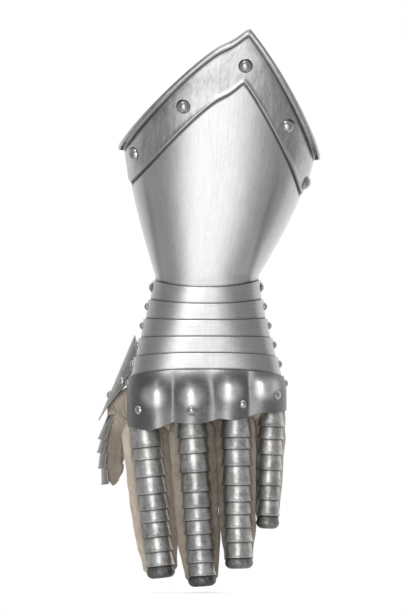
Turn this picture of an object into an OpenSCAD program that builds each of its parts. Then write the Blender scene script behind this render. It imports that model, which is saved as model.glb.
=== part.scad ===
// Left-hand plate gauntlet, worn on the forearm with the fingers hanging down.
// +Z runs up the forearm, -Y faces the back of the hand, and the thumb is on the -X side.
// The origin is the middle of the wrist, where the first lame turns on the cuff.

/* [Steel] */
// Gauge of the cuff, its border and the knuckle plate
plate_t = 1; // [0.8:0.1:1.3]
// Gauge of the finger and thumb lames
lame_t = 0.9; // [0.7:0.1:1.1]
// Running gap between two wrist lames
wrist_gap = 0.7; // [0.6:0.1:1]
// Running gap between two finger or thumb lames
finger_gap = 0.6; // [0.5:0.1:0.8]
// Radial play of a rivet in its holes
rivet_play = 0.05; // [0.02:0.01:0.1]
// Radius of a rivet's shank
shank_r = 1.5; // [1.2:0.1:1.8]

/* [Cuff] */
// Height of the rim's point above the wrist
cuff_peak = 178; // [160:1:195]
// Height of the rim at the thumb side
cuff_left_rim = 97; // [88:1:105]
// Height of the rim at the little-finger side
cuff_right_rim = 90; // [84:1:98]
// Height of the rim at the palm side
cuff_palm_rim = 76; // [66:1:84]
// How far the rim flares out at the thumb side
cuff_left_flare = 21; // [15:1:26]
// How far the rim flares out at the little-finger side
cuff_right_flare = 38.5; // [30:0.5:46]
// How far the cuff flares to the front and back for each millimetre of height
cuff_slope = 0.3; // [0.22:0.01:0.36]
// Hollow of the rim's arms, 1 for straight ones and more for a sharper point
rim_hollow = 1.85; // [1.4:0.05:2]
// Turn of the rim's point from the front
peak_turn = 7; // [0:1:12]
// Lap of the palm seam, in degrees round the cuff
seam_lap = 14; // [10:1:18]

/* [Cuff border] */
// Width of the border band
band_w = 27; // [24:1:32]
// Radius of the rolled edge along the rim
roll_r = 1.5; // [1.2:0.1:2]
// Radius of a band rivet's domed head
band_head_r = 5.2; // [4.5:0.1:6]

/* [Wrist] */
// Width of the wrist at the first lame
wrist_w = 76; // [70:1:82]
// Depth from the middle of the wrist to the back of the hand
wrist_front = 31; // [28:1:34]
// Depth from the middle of the wrist to its palm side
wrist_rear = 29; // [26:1:32]
// Distance from one pair of side rivets to the next
wrist_pitch = 13.7; // [12.5:0.1:15]
// Height of a lame above its own rivets, at the sides
lame_lead = 5; // [4.5:0.1:6]
// Overlap of two wrist lames at the back of the hand
wrist_overlap = 7.5; // [7:0.1:9]

/* [Knuckle plate] */
// Width of the hand at the knuckles
hand_w = 115; // [108:1:122]
// How far the knuckle bosses stand out
knuckle_h = 6; // [4:0.5:8]
// Radius of a knuckle boss
knuckle_r = 11.5; // [9:0.5:14]
// Length from the last side rivets to the lower edge
knuckle_drop = 31; // [27:1:35]
// Radius of a knuckle rivet's head
knuckle_head_r = 3.2; // [2.6:0.1:3.8]

/* [Fingers] */
// Visible length of each index lame, from the knuckle to the tip
index_steps = [13.6, 8.8, 12.4, 12.4, 11.4, 8.8, 10.6, 10.6, 10.4, 9]; // [8:0.2:14]
// Visible length of each middle-finger lame
middle_steps = [8.8, 11, 13.6, 14, 11.2, 9, 10, 10.8, 9.4, 9.6, 8]; // [8:0.2:14]
// Visible length of each ring-finger lame
ring_steps = [10.8, 8.4, 12, 13.8, 11.8, 9, 9.6, 10.2, 11.4, 8]; // [8:0.2:14]
// Visible length of each little-finger lame
little_steps = [8.8, 9, 11, 11, 11, 10.4, 11.4, 9.6]; // [8:0.2:14]
// Outer radius of the index lames at the knuckle
index_r = 11.6; // [11:0.1:12]
// Outer radius of the middle-finger lames at the knuckle
middle_r = 11.5; // [11:0.1:12]
// Outer radius of the ring-finger lames at the knuckle
ring_r = 11.5; // [11:0.1:12]
// Outer radius of the little-finger lames at the knuckle
little_r = 9.7; // [9.4:0.1:10.2]
// How much narrower a finger is at its tip, in radius
finger_taper = 1.3; // [0.8:0.1:1.6]
// How far a finger lame reaches up under the one above it
finger_overlap = 3.5; // [3:0.1:4.5]
// How far the first lame reaches up under the knuckle plate
root_tuck = 9; // [7:0.5:11]
// Half the arc of a finger lame, in degrees
finger_arc = 94; // [85:1:96]
// Rounding of a fingertip's end
tip_round = 4.5; // [3.5:0.1:5.5]

/* [Thumb] */
// Length of the thumb plate
thumb_plate_len = 66; // [60:1:70]
// Radius of the thumb plate at its upper end
thumb_top_r = 14.2; // [13.5:0.1:15]
// Radius of the thumb plate at its lower end
thumb_low_r = 12.8; // [12.2:0.1:13.4]
// Lean of the thumb plate away from the hand
thumb_lean = 24; // [20:1:27]
// Visible length of each thumb lame
thumb_steps = [12, 9.4, 11, 11.4]; // [9:0.2:13]
// Half the arc of a thumb lame, in degrees
thumb_arc = 62; // [50:1:70]
// Bend between two thumb lames as the hand hangs
thumb_bend = 8; // [5:1:9]

/* [Glove] */
// Thickness of the leather
leather_t = 1.2; // [1:0.1:1.5]
// Gap between the leather and the steel that it carries
leather_gap = 0.3; // [0.2:0.05:0.5]
// How far the leather fingers bulge behind the lames
finger_bulge = 13; // [11:0.5:14]
// Height of the glove's hem above the wrist
glove_top = 24; // [18:1:32]

/* [Hidden] */
$fn = 48;
// How far one plate lies outside the one before it
wrist_step = plate_t + wrist_gap;
finger_step = lame_t + finger_gap;
wrist_lames = 5;
// How squared the section is, 1 for an ellipse and less for a boxier one
squared_wrist = 0.8;
squared_hand = 0.64;
// The side rivets
first_pivot = -2;
pivot_y = -4;
last_pivot = pivot_z(wrist_lames + 1);
// The hand widens from the first lame's upper edge to the last lame's lower one
widen_top = first_pivot + lame_lead;
widen_low = last_pivot - lame_lead;
// Height at which the cuff starts to flare
flare_start = widen_top + 3;
// Where the plates end round the hand, in degrees from the back of the hand
ear_end = 93;
thumb_ear = 103;
little_ear = 98;
// Reach of a lame's rounded end behind its rivets
ear_reach = 7.5;
// Depth of the oval that the plates' back ends follow
hand_rear = 45;
// Clearance under a rivet's head, and between two plates that are riveted flat
under_head = 0.25;
seat_gap = 0.2;
// Flat wall of a leather finger between its round front and its squarer back
leather_step = 2.4;
// How far that front runs back past the axis, clear of the lames' ends
leather_free = 1.3;
// Where the glove's palm ends and its fingers go on
palm_low = last_pivot - 18.5;
// Top of the thumb plate's axis, and the rivet that the plate swings on
thumb_root = [18.5 - hand_w / 2, 20, last_pivot + 28.5];
thumb_pivot_y = 10;
thumb_pivot_z = last_pivot + 1.5;
ridge_rivet_w = 46;
thumb_tuck = 8;

// Widths across the knuckles are given for a hand of 115 and follow its real width.
// Heights there are measured from the last side rivets.
broad = hand_w / 115;
// Name, width and height of the axis at the knuckle, lean, radius, lames, spare width of the leather
// behind them, and how much deeper than it has to the finger lies under the knuckle plate's curve
fingers = [
    ["index", -44.2 * broad, last_pivot - 31.5, 6.3, index_r, index_steps, 2.4, 5.2],
    ["middle", -10.8 * broad, last_pivot - 29.5, 3.8, middle_r, middle_steps, 2.4, 0],
    ["ring", 20.6 * broad, last_pivot - 27, 1.3, ring_r, ring_steps, 0.6, 0],
    ["little", 46 * broad, last_pivot - 21.5, -2, little_r, little_steps, 0.2, 5.6]
];
// Width and height of each knuckle
knuckles = [for (k = [[-37.8, 7.5], [-10.7, 7.5], [16.4, 3.5], [42.8, 1.5]])
    [k[0] * broad, last_pivot - k[1]]];

plate_nodes = ["cuff_plate", "cuff_border", "cuff_rivets",
    "wrist_lame_1", "wrist_lame_2", "wrist_lame_3", "wrist_lame_4", "wrist_lame_5",
    "lame_1_pivots", "lame_3_pivots", "lame_5_pivots",
    "knuckle_plate", "knuckle_rivets", "thumb_plate", "thumb_rivets",
    "thumb_lame_1", "thumb_lame_2", "thumb_lame_3", "thumb_lame_4"];
finger_nodes = [for (f = fingers) for (k = [1 : len(f[5])]) str(f[0], "_lame_", k)];

// Curves

function power(v, p) = sign(v) * pow(abs(v), p);
function share(v, a, b) = min(1, max(0, (v - a) / (b - a)));
function total(v, n) = n == 0 ? 0 : v[n - 1] + total(v, n - 1);
function unit(v) = v / norm(v);

// A squared oval seen from above; an angle of 0 is the back of the hand and 90 the little finger's side
function oval(angle, left, right, front, rear, p) =
    let (half = (right + left) / 2, middle = (right - left) / 2)
    [middle + half * power(sin(angle), p),
     (cos(angle) > 0 ? -front : rear) * pow(abs(cos(angle)), p)];

// Face direction at one place of a grid of points
function face(grid, i, j) =
    let (a = grid[i][max(0, j - 1)], b = grid[i][min(len(grid[0]) - 1, j + 1)],
         c = grid[max(0, i - 1)][j], d = grid[min(len(grid) - 1, i + 1)][j])
    unit(cross(b - a, d - c));

// Plate of even gauge. Each row of the grid runs from the thumb side round the outer face,
// and the rows climb.
module sheet(grid, t) {
    rows = len(grid);
    n = len(grid[0]);
    size = rows * n;
    inner = [for (i = [0 : rows - 1]) for (j = [0 : n - 1]) grid[i][j] - t * face(grid, i, j)];
    faces = concat(
        [for (i = [0 : rows - 2]) for (j = [0 : n - 2])
            let (a = i * n + j, b = a + 1, c = a + n, d = c + 1)
            each [[a, c, d], [a, d, b], [a + size, d + size, c + size], [a + size, b + size, d + size]]],
        [for (j = [0 : n - 2])
            let (a = j, c = (rows - 1) * n + j)
            each [[a, a + 1, a + 1 + size], [a, a + 1 + size, a + size],
                  [c + 1, c, c + size], [c + 1, c + size, c + 1 + size]]],
        [for (i = [0 : rows - 2])
            let (a = i * n, b = a + n - 1)
            each [[a + n, a, a + size], [a + n, a + size, a + n + size],
                  [b, b + n, b + n + size], [b, b + n + size, b + size]]]);
    polyhedron(concat([for (row = grid) each row], inner), faces);
}

// Soft tube with one closed end: rings of its outer face, then rings of its inner face,
// each from the open end to the closed one
module pouch(outer, inner) {
    n = len(outer[0]);
    a_rows = len(outer);
    b_rows = len(inner);
    rings = concat(outer, inner);
    points = concat([for (ring = rings) each ring],
        [mean(outer[a_rows - 1]), mean(inner[b_rows - 1])]);
    a_pole = len(points) - 2;
    b_first = a_rows * n;
    faces = concat(
        [for (i = [0 : a_rows - 2]) for (j = [0 : n - 1]) each quad(i * n, (i + 1) * n, j, n, true)],
        [for (i = [0 : b_rows - 2]) for (j = [0 : n - 1])
            each quad(b_first + i * n, b_first + (i + 1) * n, j, n, false)],
        [for (j = [0 : n - 1]) each quad(0, b_first, j, n, false)],
        [for (j = [0 : n - 1]) [(a_rows - 1) * n + j, (a_rows - 1) * n + (j + 1) % n, a_pole]],
        [for (j = [0 : n - 1])
            [b_first + (b_rows - 1) * n + (j + 1) % n, b_first + (b_rows - 1) * n + j, a_pole + 1]]);
    polyhedron(points, faces);
}

function mean(ring) = [for (k = [0 : 2]) total([for (p = ring) p[k]], len(ring)) / len(ring)];

// Two triangles between place j of one ring and place j of the next
function quad(a, b, j, n, turned) =
    let (k = (j + 1) % n, p = a + j, q = a + k, r = b + j, s = b + k)
    turned ? [[p, q, s], [p, s, r]] : [[p, s, q], [p, r, s]];

// Wrist and hand

function pivot_z(i) = first_pivot - (i - 1) * wrist_pitch;
// Which lame a height belongs to: a whole number at each pair of rivets
function lame_at(z) = 1 + (first_pivot - z) / wrist_pitch;
// How far lame i lies outside the hand's own outline at a height. The knuckle plate keeps to the
// outline below its rivets.
function stagger(i, z) = wrist_step * (i - lame_at(i > wrist_lames ? max(z, widen_low) : z));

function widen(z, p) = (hand_w - wrist_w) / 2 * pow(share(-z, -widen_top, -widen_low), p);
function hand_point(angle, z, off) =
    let (p = squared_wrist + (squared_hand - squared_wrist) * share(-z, 0, 60),
         xy = oval(angle, wrist_w / 2 + widen(z, 1) + off, wrist_w / 2 + widen(z, 1.3) + off,
                   wrist_front + off, hand_rear, p))
    [xy.x, xy.y, z];

// Height of the rounded end of a lame, 1 up to its rivets and 0 at its very end
function ear(y) = sqrt(max(0.02, 1 - pow(max(0, y - pivot_y) / ear_reach, 2)));

function back_share(angle) = pow(max(0, cos(angle)), 2);
function lift(i) = -5 + 2 * (i - 1);
function lame_top(i, angle, e) = pivot_z(i) + lame_lead * e + lift(i) * back_share(angle);
function lame_low(i, angle, e) =
    pivot_z(i + 1) - 0.5 - lame_lead * e
    + (lift(i + 1) + 2 * lame_lead + 0.5 - wrist_overlap) * back_share(angle);

lame_angles = concat([-ear_end, -92.4, -91.4, -90, -88, -86], [for (a = [-78 : 12 : 78]) a],
    [86, 88, 90, 91.4, 92.4, ear_end]);
ear_y = function (angle) hand_point(angle, -40, 0).y;

function lame_grid(i, rows) =
    [for (v = [0 : rows]) [for (a = lame_angles)
        let (e = ear(ear_y(a)), low = lame_low(i, a, e), z = low + v / rows * (lame_top(i, a, e) - low))
        hand_point(a, z, stagger(i, z))]];

// Place on the outer face of lame i beside its pivot, with the face's own direction
function pivot_place(i, j, side) =
    let (z = pivot_z(i),
         on = function (dy, dz)
             let (w = hand_point(side * 87, z + dz, stagger(j, z + dz)))
             [w.x, pivot_y + dy, z + dz],
         a = on(0, -2), b = on(0, 2),
         n = unit([side * (b.z - a.z), 0, -side * (b.x - a.x)]))
    [on(0, 0), n];

module pivot_holes(i) {
    for (side = [-1, 1])
        translate([side * hand_w / 2, pivot_y, pivot_z(i)])
            rotate([0, 90, 0])
                cylinder(r = shank_r + rivet_play, h = hand_w / 1.6, center = true);
}

module wrist_lame(i) {
    color("silver")
        difference() {
            sheet(lame_grid(i, 4), plate_t);
            pivot_holes(i);
            pivot_holes(i + 1);
        }
}

// Domed head on the +Z side of its own seat
module dome(r, h) {
    ball = (r * r + h * h) / (2 * h);
    rotate_extrude()
        polygon(concat([[0, 0]],
            [for (k = [0 : 8])
                let (a = asin(r / ball) * (1 - k / 8))
                [ball * sin(a), ball * cos(a) - ball + h]]));
}

// Turns +Z to a direction
module toward(n) {
    rotate([0, acos(n.z), atan2(n.y, n.x)])
        children();
}

// A side rivet of the pair between lame i - 1, inside, and lame i, outside
module pivot_rivet(i, side, head_r) {
    outside = pivot_place(i, i, side);
    inside = pivot_place(i, i - 1, side);
    reach = wrist_step + plate_t + 1.6;
    color("gray")
        union() {
            translate(outside[0] + outside[1] * under_head)
                toward(outside[1])
                    dome(head_r, 2);
            translate(outside[0])
                rotate([0, -90 * side, 0])
                    translate([0, 0, -0.8])
                        cylinder(r = shank_r, h = reach + 0.8);
            translate(inside[0] - inside[1] * (plate_t + 1.6 * under_head + 0.8))
                toward(inside[1])
                    cylinder(r = shank_r + 0.7, h = 0.8);
        }
}

module pivots(list, head_r) {
    for (i = list)
        for (side = [-1, 1])
            pivot_rivet(i, side, i == 1 ? head_r + 0.8 : head_r);
}

// Cuff

// Share of the flare at a height: it starts above the first lame and eases off towards the rim
function flare(z, rim) = let (u = max(0, (z - flare_start) / (rim - flare_start)))
    u < 1 ? (u + sin(90 * u)) / 2 : 1 + (u - 1) / 2;
function cuff_point(angle, z, off) =
    let (tuck = -wrist_step * lame_at(min(z, widen_top)) + off,
         xy = oval(angle,
            wrist_w / 2 + widen(z, 1) + cuff_left_flare * flare(z, cuff_left_rim) + tuck,
            wrist_w / 2 + widen(z, 1.3) + cuff_right_flare * flare(z, cuff_right_rim) + tuck,
            wrist_front + cuff_slope * max(0, z) + tuck,
            wrist_rear + cuff_slope * max(0, z) + off, squared_wrist))
    [xy.x, xy.y, z];

function rim(angle) =
    let (t = angle - peak_turn,
         side = t < 0 ? cuff_left_rim : cuff_right_rim,
         u = abs(t) / (t < 0 ? 90 + peak_turn : 90 - peak_turn))
    u < 1 ? side + (cuff_peak - side) * pow(1 - u, rim_hollow)
          : side + (cuff_palm_rim - side) * (1 - cos(180 * min(1, (u - 1) * 0.95))) / 2;

function cuff_low(angle) =
    lame_low(0, min(90, abs(angle)), 1) + (5.5 + first_pivot) * share(abs(angle), 100, 140);

seam_in = -180 - seam_lap / 2;
seam_out = 180 + seam_lap / 2;
cuff_angles = concat([for (k = [0 : 10]) seam_in + k / 11 * (-100 - seam_in)],
    [for (a = [-100 : 6 : peak_turn - 5]) a], [peak_turn - 2.5, peak_turn, peak_turn + 2.5],
    [for (a = [peak_turn + 6 : 6 : 92]) a], [for (k = [0 : 11]) 98 + k / 11 * (seam_out - 98)]);

// The seam's outer end laps over its inner end
function lap(angle) = (plate_t + seat_gap) * share(angle, 180 - 1.5 * seam_lap, 179 - seam_lap / 2);

cuff_grid = [for (v = [0 : 10]) [for (a = cuff_angles)
    let (low = cuff_low(a), u = v / 10)
    cuff_point(a, low + (rim(a) - low) * (0.6 * u + 0.4 * u * u), lap(a))]];

// Place on the cuff, with the face's own direction
function cuff_place(angle, z, off) =
    let (a = cuff_point(angle - 1, z, off), b = cuff_point(angle + 1, z, off),
         c = cuff_point(angle, z - 1, off), d = cuff_point(angle, z + 1, off))
    [cuff_point(angle, z, off), unit(cross(b - a, d - c))];

// Height of a place on the band: its depth below the rim is measured along the slanting rim
function band_z(angle, depth) =
    rim(angle) - depth * (1 + 0.32 * share(cos(angle - peak_turn), 0.2, 1))
    * (1 - 0.45 * share(abs(angle), 78, 97));

band_rivets = [[peak_turn - 2, 19], [-38, 17], [36, 17], [-78, 15], [86, 15]];
seam_heights = [12, 34, 58];

module band_holes() {
    for (b = band_rivets)
        let (place = cuff_place(b[0], band_z(b[0], b[1]), 0))
            translate(place[0])
                toward(place[1])
                    cylinder(r = shank_r + rivet_play, h = 9, center = true);
}

module seam_holes() {
    for (z = seam_heights)
        let (place = cuff_place(180, z, 0))
            translate(place[0])
                toward(place[1])
                    cylinder(r = shank_r + rivet_play, h = 9, center = true);
}

module cuff_plate() {
    color("gainsboro")
        difference() {
            sheet(cuff_grid, plate_t);
            band_holes();
            seam_holes();
            pivot_holes(1);
        }
}

band_angles = concat([-97, -93, -89], [for (a = [-84 : 6 : peak_turn - 6]) a],
    [peak_turn - 2.5, peak_turn, peak_turn + 2.5], [for (a = [peak_turn + 6 : 6 : 88]) a], [91, 94, 97]);
band_off = plate_t + seat_gap;
band_grid = concat(
    [for (v = [0 : 2]) [for (a = band_angles)
        cuff_point(a, band_z(a, band_w * (1 - 0.45 * v)), band_off)]],
    [for (k = [0 : 3]) [for (a = band_angles)
        cuff_point(a, rim(a) + 0.4 + roll_r * sin(50 * k) * 0.9,
                   band_off + roll_r * (1 - cos(50 * k)) * 0.9)]]);

module cuff_border() {
    color("silver")
        difference() {
            sheet(band_grid, plate_t);
            band_holes();
        }
}

module through_rivet(place, off, head_r, head_h, reach) {
    translate(place[0] + place[1] * (off + under_head))
        toward(place[1])
            union() {
                dome(head_r, head_h);
                translate([0, 0, -reach])
                    cylinder(r = shank_r, h = reach + 0.2);
            }
}

module cuff_rivets() {
    color("dimgray")
        union() {
            for (b = band_rivets)
                through_rivet(cuff_place(b[0], band_z(b[0], b[1]), 0), band_off, band_head_r, 3.4,
                    band_off + plate_t + 1.2);
            for (z = seam_heights)
                through_rivet(cuff_place(180, z, 0), plate_t + seat_gap, 3.2, 1.8,
                    2 * plate_t + seat_gap + 1);
        }
}

// Knuckle plate

// The bosses swell above each knuckle and run on as half-round lobes over the fingers
function boss(x, z) = knuckle_h * max([for (k = knuckles)
    exp(-pow((x - k[0]) / knuckle_r, 2))
    * (z > k[1] ? exp(-pow((z - k[1]) / 11, 2)) : 0.5 + 0.5 * exp(-pow((z - k[1]) / 11, 2)))]);
function knuckle_point(angle, z) =
    let (w = hand_point(angle, z, stagger(wrist_lames + 1, z)))
    [w.x, w.y - boss(w.x, z), z];

lobe_edges = [-hand_w / 2, -24 * broad, 9 * broad, 37.5 * broad, hand_w / 2];
lobe_heights = [0.5, 3.5, 6, 10.5, 11.5];
lobe_sags = [4, 2.5, 3, 1];
function lobe_of(x, k = 0) = k == 3 || x < lobe_edges[k + 1] ? k : lobe_of(x, k + 1);
function knuckle_low(angle) =
    let (x = hand_point(angle, last_pivot - knuckle_drop, 0).x,
         k = lobe_of(x), u = share(x, lobe_edges[k], lobe_edges[k + 1]))
    last_pivot - knuckle_drop + lobe_heights[k] + (lobe_heights[k + 1] - lobe_heights[k]) * u
    - lobe_sags[k] * sin(180 * u);

knuckle_angles = concat([for (a = [-thumb_ear : 2.5 : -90]) a], [for (a = [-84 : 6 : -54]) a],
    [for (a = [-50 : 3.4 : 50]) a], [for (a = [54 : 6 : 84]) a], [89, 92, 95, little_ear]);
function knuckle_round(y, end) = sqrt(max(0.03, 1 - pow(max(0, y - end + 9) / 9, 2)));
knuckle_grid = [for (v = [0 : 13]) [for (a = knuckle_angles)
    let (y = hand_point(a, last_pivot, 0).y,
         end = hand_point(a < 0 ? thumb_ear : little_ear, last_pivot, 0).y,
         e = abs(a) > 88 ? knuckle_round(y, end) : 1,
         top = last_pivot + lame_lead * e + lift(6) * back_share(a),
         low = last_pivot - (last_pivot - knuckle_low(a)) * e)
    knuckle_point(a, low + (top - low) * v / 13)]];

// Place on the knuckle plate's outer face at a width and height, with the face's own direction
function knuckle_place(x, z) =
    let (mid = (hand_point(90, z, 0).x + hand_point(-90, z, 0).x) / 2,
         half = (hand_point(90, z, 0).x - hand_point(-90, z, 0).x) / 2,
         angle = asin(power((x - mid) / half, 1 / squared_hand)),
         a = knuckle_point(angle - 1, z), b = knuckle_point(angle + 1, z),
         c = knuckle_point(angle, z - 1), d = knuckle_point(angle, z + 1))
    [knuckle_point(angle, z), unit(cross(b - a, d - c))];

knuckle_rivet_places = [for (r = [[-49.5, 19], [-11, 19.5], [26.6, 14.9], [51, 8.5]])
    [r[0] * broad, last_pivot - r[1]]];

module knuckle_plate() {
    color("darkgray")
        difference() {
            sheet(knuckle_grid, plate_t);
            pivot_holes(wrist_lames + 1);
            thumb_pivot_hole();
            for (r = knuckle_rivet_places)
                let (place = knuckle_place(r[0], r[1]))
                    translate(place[0])
                        toward(place[1])
                            cylinder(r = shank_r + rivet_play, h = 7, center = true);
        }
}

module knuckle_rivets() {
    color("gray")
        for (r = knuckle_rivet_places)
            through_rivet(knuckle_place(r[0], r[1]), 0, knuckle_head_r, 1.5, plate_t + 0.8);
}

// Fingers

function finger_radius(f, w) = f[4] - finger_taper * w / total(f[5], len(f[5]));
// Depth of a finger's axis, set by the knuckle plate that its first lame runs under
function finger_y(f) =
    let (place = knuckle_place(f[1], f[2] + 3)[0])
    place.y + plate_t + finger_gap + f[4] - finger_step + f[7];

// Puts a piece on a finger, whose axis runs down from the knuckle plate's edge
module on_finger(f) {
    translate([f[1], finger_y(f), f[2]])
        rotate([0, -f[3], 0])
            children();
}

// Outline of a lame's wall between its upper and lower edge, w measured down the finger
function lame_wall(f, k) =
    let (low = total(f[5], k), pitch = f[5][k - 1],
         high = k == 1 ? -root_tuck : low - pitch - finger_overlap,
         r = finger_radius(f, low), slope = finger_step / pitch,
         lip = min(2, pitch / 4))
    [[r - slope * (low - high), high], [r - slope * lip - 0.15, low - lip], [r + 0.1, low]];

module finger_lame(f, k) {
    wall = lame_wall(f, k);
    last = k == len(f[5]);
    r = wall[2][0] - 0.1;
    w = wall[2][1];
    outer = last
        ? concat([wall[0]], [for (a = [0 : 15 : 90])
            [r - 0.1 - tip_round * (1 - cos(a)), w - tip_round * (1 - sin(a))]], [[1.5, w]])
        : wall;
    inner = last
        ? concat([[1.5, w - lame_t]], [for (a = [90 : -15 : 0])
            [r - 0.1 - lame_t - (tip_round - lame_t) * (1 - cos(a)),
             w - lame_t - (tip_round - lame_t) * (1 - sin(a))]],
            [[wall[0][0] - lame_t, wall[0][1]]])
        : [for (n = [2 : -1 : 0]) [wall[n][0] - lame_t, wall[n][1]]];
    color(last ? "slategray" : "lightgray")
        on_finger(f)
            rotate_extrude(angle = 2 * finger_arc, start = -90 - finger_arc, $fn = 72)
                polygon([for (p = concat(outer, inner)) [p[0], -p[1]]]);
}

// Thumb: its plate is a cone with a leaf-shaped outline, and the lames hang below it in a bent row

function leaf_r(w) = thumb_top_r + (thumb_low_r - thumb_top_r) * w / thumb_plate_len;

module on_thumb() {
    translate(thumb_root)
        rotate([0, thumb_lean, 0])
            children();
}

// Place on the thumb plate in the plate's own frame: w runs down it, and an angle of 0 is its ridge
function leaf_point(angle, w, off) =
    let (r = leaf_r(w) + off)
    [-r * cos(angle), -r * sin(angle), -w];
function leaf_low(angle) = thumb_plate_len * (1 - 0.55 * pow(abs(angle) / 75, 1.4));
function leaf_high(angle) = (angle > 0 ? 26 : 16) * pow(abs(angle) / 75, 2);
leaf_angles = [for (a = [-68 : 8 : 60]) a];
leaf_grid = [for (v = [0 : 8]) [for (a = leaf_angles)
    leaf_point(a, leaf_low(a) + (leaf_high(a) - leaf_low(a)) * v / 8, 0)]];

module thumb_pivot_hole() {
    translate([-hand_w / 2, thumb_pivot_y, thumb_pivot_z])
        rotate([0, 90, 0])
            cylinder(r = shank_r + rivet_play, h = 24, center = true);
}

module ridge_rivet_hole() {
    on_thumb()
        translate([-thumb_top_r, 0, -ridge_rivet_w])
            rotate([0, 90, 0])
                cylinder(r = shank_r + rivet_play, h = 8, center = true);
}

module thumb_plate() {
    color("gray")
        difference() {
            on_thumb()
                sheet(leaf_grid, lame_t);
            thumb_pivot_hole();
            ridge_rivet_hole();
        }
}

// The swing rivet's place on the plate: its angle round the cone and its distance down the axis
thumb_pivot_a = asin((thumb_root.y - thumb_pivot_y) / leaf_r(30));
thumb_pivot_w = (thumb_root.z - thumb_pivot_z + leaf_r(30) * cos(thumb_pivot_a) * sin(thumb_lean))
    / cos(thumb_lean);
thumb_pivot_x = thumb_root.x - leaf_r(thumb_pivot_w) * cos(thumb_pivot_a) * cos(thumb_lean)
    - thumb_pivot_w * sin(thumb_lean);

module thumb_rivets() {
    wall_x = hand_point(-90, thumb_pivot_z, 0).x + plate_t;
    n = [-cos(thumb_pivot_a) * cos(thumb_lean), -sin(thumb_pivot_a), cos(thumb_pivot_a) * sin(thumb_lean)];
    color("gray")
        union() {
            translate([thumb_pivot_x, thumb_pivot_y, thumb_pivot_z] + n * 0.3)
                toward(n)
                    dome(3, 1.8);
            translate([thumb_pivot_x - 0.6, thumb_pivot_y, thumb_pivot_z])
                rotate([0, 90, 0])
                    cylinder(r = shank_r, h = wall_x - thumb_pivot_x + 1.8);
            translate([wall_x + 0.4, thumb_pivot_y, thumb_pivot_z])
                rotate([0, 90, 0])
                    cylinder(r = shank_r + 0.7, h = 0.8);
            on_thumb()
                translate([-leaf_r(ridge_rivet_w) - under_head, 0, -ridge_rivet_w])
                    rotate([0, -90, 0])
                        union() {
                            dome(3, 1.8);
                            translate([0, 0, -lame_t - 0.8])
                                cylinder(r = shank_r, h = lame_t + 1);
                        }
        }
}

thumb = ["thumb", 0, 0, 0, thumb_low_r - finger_step, thumb_steps];
function thumb_wall(k) =
    let (low = total(thumb_steps, k), pitch = thumb_steps[k - 1],
         high = k == 1 ? -thumb_tuck : low - pitch - finger_overlap,
         r = finger_radius(thumb, low), slope = finger_step / pitch)
    [[r - slope * (low - high), high], [r - slope * 2 - 0.15, low - 2], [r + 0.1, low]];

// Hinge of thumb lame k in the thumb plate's frame: on the ridge at the lame's upper edge
function thumb_hinge(k) =
    let (wall = thumb_wall(k))
    [-(wall[0][0] - lame_t), 0, -thumb_plate_len - wall[0][1]];

// Carries a piece down the bent row of lames
module on_thumb_lame(k) {
    if (k == 0)
        on_thumb() children();
    else
        on_thumb_lame(k - 1)
            translate(thumb_hinge(k))
                rotate([0, -thumb_bend, 0])
                    translate(-thumb_hinge(k))
                        children();
}

module thumb_lame(k) {
    wall = thumb_wall(k);
    color("lightgray")
        on_thumb_lame(k)
            translate([0, 0, -thumb_plate_len])
                rotate_extrude(angle = 2 * thumb_arc, start = 180 - thumb_arc, $fn = 72)
                    polygon(concat([for (p = wall) [p[0], -p[1]]],
                        [for (n = [2 : -1 : 0]) [wall[n][0] - lame_t, -wall[n][1]]]));
}

// Glove

// Section of a leather finger: round under the lames, and wider and flatter behind them
function finger_ring(r, wide, deep, w, off) =
    concat([[-(r - off), leather_free, -w]],
           [for (a = [-90 : 22.5 : 90]) [(r - off) * sin(a), -(r - off) * cos(a), -w]],
           [[r - off, leather_free, -w]],
           [for (a = [0 : 22.5 : 180])
               [(wide - off) * power(cos(a), 0.75),
                leather_step + off + (deep - 2 * off) * power(sin(a), 0.75), -w]]);
// Rounding of the leather's end: 1 up to the last few millimetres
function round_end(w, end, r) = sqrt(max(0.04, 1 - pow(max(0, w - end + r) / r, 2)));

module leather_finger(f) {
    length = total(f[5], len(f[5]));
    end = length - lame_t - 0.8;
    start = max(-root_tuck - 0.6, f[2] - palm_low + 1 + f[4] * abs(sin(f[3])));
    places = [start, 0, 12, length * 0.35, length * 0.65, end - 6, end - 3, end - 1.2, end];
    ring = function (w, off)
        let (s = round_end(w, end + 0.2, 6),
             r = w < 0 ? lame_wall(f, 1)[0][0] - lame_t - leather_gap
                 : finger_radius(f, w) - finger_step * 1.41 - lame_t - leather_gap,
             wide = f[4] - 1.6 + (f[6] + 1.6) * share(w, 0, 12) - 2 * max(0, w) / length,
             deep = finger_bulge - 2 * max(0, w) / length)
        finger_ring(off + (r - off) * s, off + (wide - off) * s, 2 * off + (deep - 2 * off) * s, w, off);
    on_finger(f)
        pouch([for (w = places) ring(w, 0)],
              [for (w = places) ring(w - leather_t * share(w, end - 12, end), leather_t)]);
}

module glove_fingers() {
    color("tan")
        for (f = fingers)
            leather_finger(f);
}

function palm_ring(z, off) =
    let (s = share(-z, 0, 60), tuck = wrist_step * 2.1 + plate_t + leather_gap + off,
         knuckle_tuck = plate_t + 1 + off,
         t = tuck + (knuckle_tuck - tuck) * share(last_pivot - z, 2.5, 15.5),
         p = squared_wrist + (squared_hand - squared_wrist) * s)
    [for (a = [0 : 11.25 : 359])
        let (xy = oval(a, wrist_w / 2 + widen(z, 1) - t, wrist_w / 2 + widen(z, 1.3) - t,
                       wrist_front - t, 25 - off, p))
        [xy.x, xy.y, z > palm_low ? z : palm_low + 7 * share(cos(a), -0.6, -0.3)]];

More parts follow.
